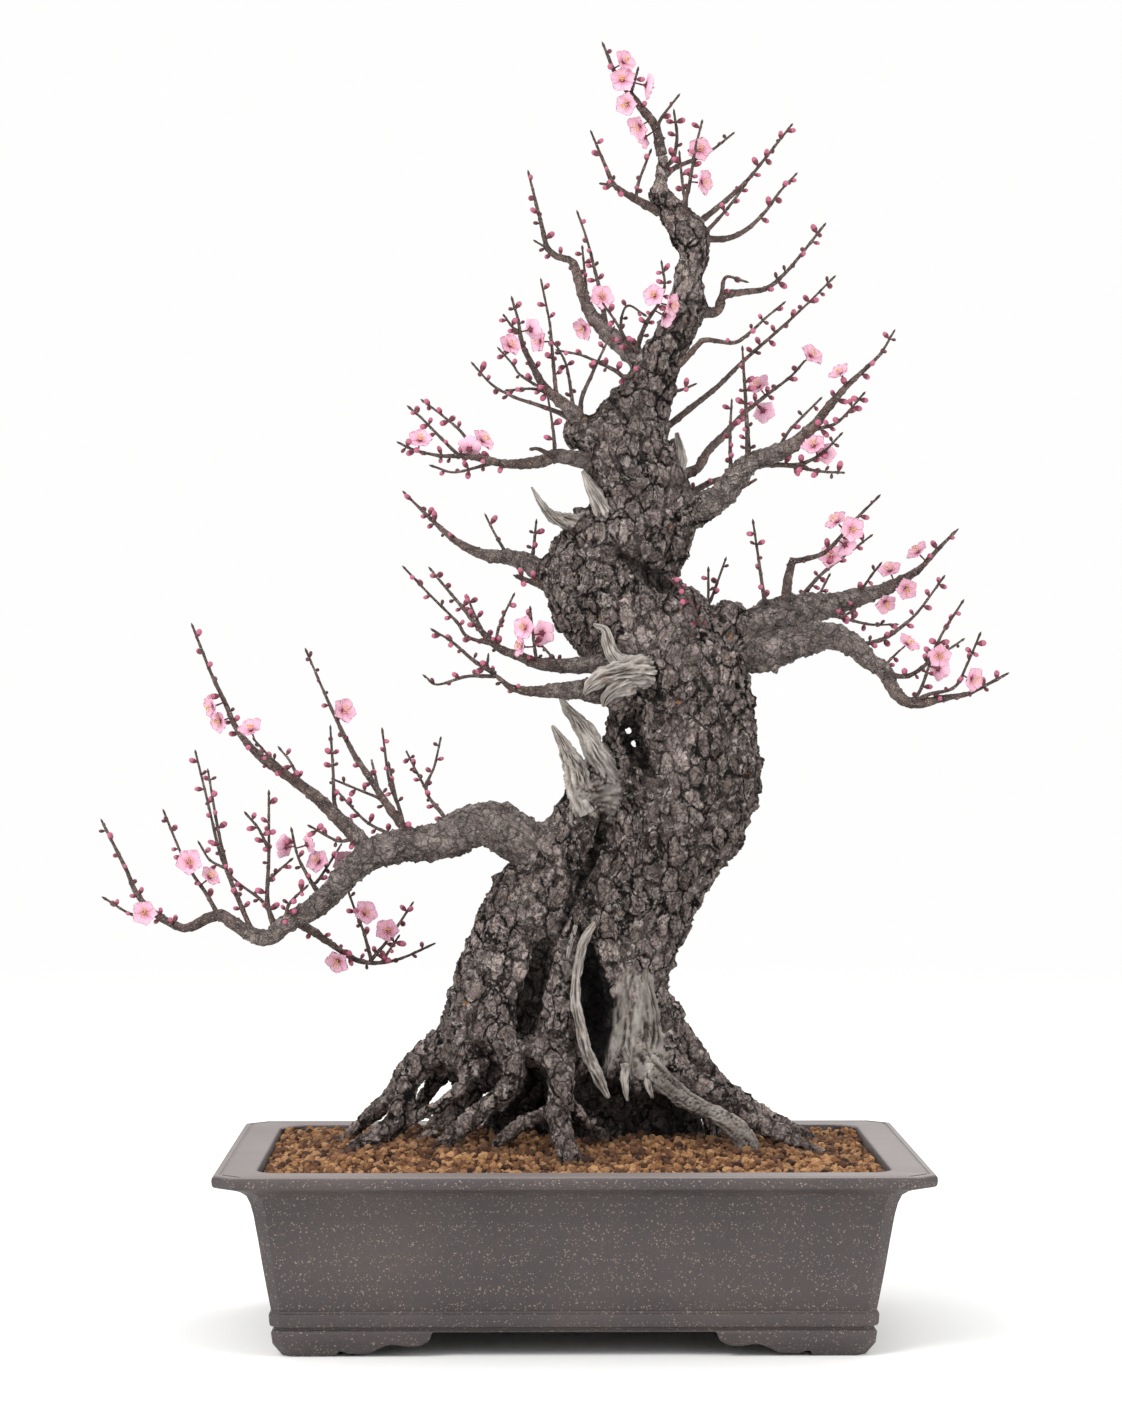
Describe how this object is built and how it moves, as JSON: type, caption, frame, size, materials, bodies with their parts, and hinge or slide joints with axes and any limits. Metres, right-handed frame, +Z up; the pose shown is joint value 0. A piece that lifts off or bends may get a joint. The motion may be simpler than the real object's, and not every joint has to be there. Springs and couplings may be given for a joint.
{
  "type": "bonsai tree in a pot",
  "caption": "Old flowering apricot bonsai with a curved hollow trunk, exposed roots, deadwood, bud-set twigs and open pink blossoms, planted in a rectangular unglazed pot on cloud feet.",
  "frame": {"origin": "on the surface that the pot stands on, under the middle of the whole object's outline", "axes": "+Z up; +X to the right along the pot's long side; +Y to the back"},
  "size_m": [0.6516, 0.35, 0.9282],
  "materials": {
    "unglazed_clay": "unglazed matt stoneware with fine pale specks",
    "soil_granules": "loose baked-clay granules, matt",
    "old_bark": "rough flaking bark",
    "twig_bark": "smooth young bark",
    "blossom": "soft petals",
    "screen_mesh": "moulded plastic mesh",
    "wire": "satin"
  },
  "bodies": {
    "root": {"anchor_wire_left": "wire", "anchor_wire_right": "wire", "blossom_01": "blossom", "blossom_02": "blossom", "blossom_03": "blossom", "blossom_04": "blossom", "blossom_05": "blossom", "blossom_06": "blossom", "blossom_07": "blossom", "blossom_08": "blossom", "blossom_09": "blossom", "blossom_10": "blossom", "blossom_11": "blossom", "blossom_12": "blossom", "blossom_13": "blossom", "blossom_14": "blossom", "blossom_15": "blossom", "blossom_16": "blossom", "blossom_17": "blossom", "blossom_18": "blossom", "blossom_19": "blossom", "blossom_20": "blossom", "blossom_21": "blossom", "blossom_22": "blossom", "blossom_23": "blossom", "blossom_24": "blossom", "blossom_25": "blossom", "blossom_26": "blossom", "blossom_27": "blossom", "blossom_28": "blossom", "blossom_29": "blossom", "blossom_30": "blossom", "branch_high_left": "twig_bark", "branch_high_right": "twig_bark", "branch_hook_left": "twig_bark", "branch_lower_left": "twig_bark", "branch_middle_left_back": "twig_bark", "branch_middle_left_front": "twig_bark", "branch_middle_right": "twig_bark", "branch_middle_right_back": "twig_bark", "branch_right": "twig_bark", "branch_right_back_long": "twig_bark", "branch_right_front_long": "twig_bark", "branch_shoulder_left": "twig_bark", "branch_top_left": "twig_bark", "branch_top_right_back": "twig_bark", "branch_top_right_front": "twig_bark", "branch_top_right_low": "twig_bark", "branch_top_side": "twig_bark", "branch_top_upright": "twig_bark", "branch_upper_left_fan": "twig_bark", "branch_upper_left_inner": "twig_bark", "branch_upper_left_low": "twig_bark", "drainage_screen_left": "screen_mesh", "drainage_screen_right": "screen_mesh", "pot": "unglazed_clay", "screen_clip_left": "wire", "screen_clip_right": "wire", "soil": "soil_granules", "trunk": "old_bark"}
  },
  "joints": []
}
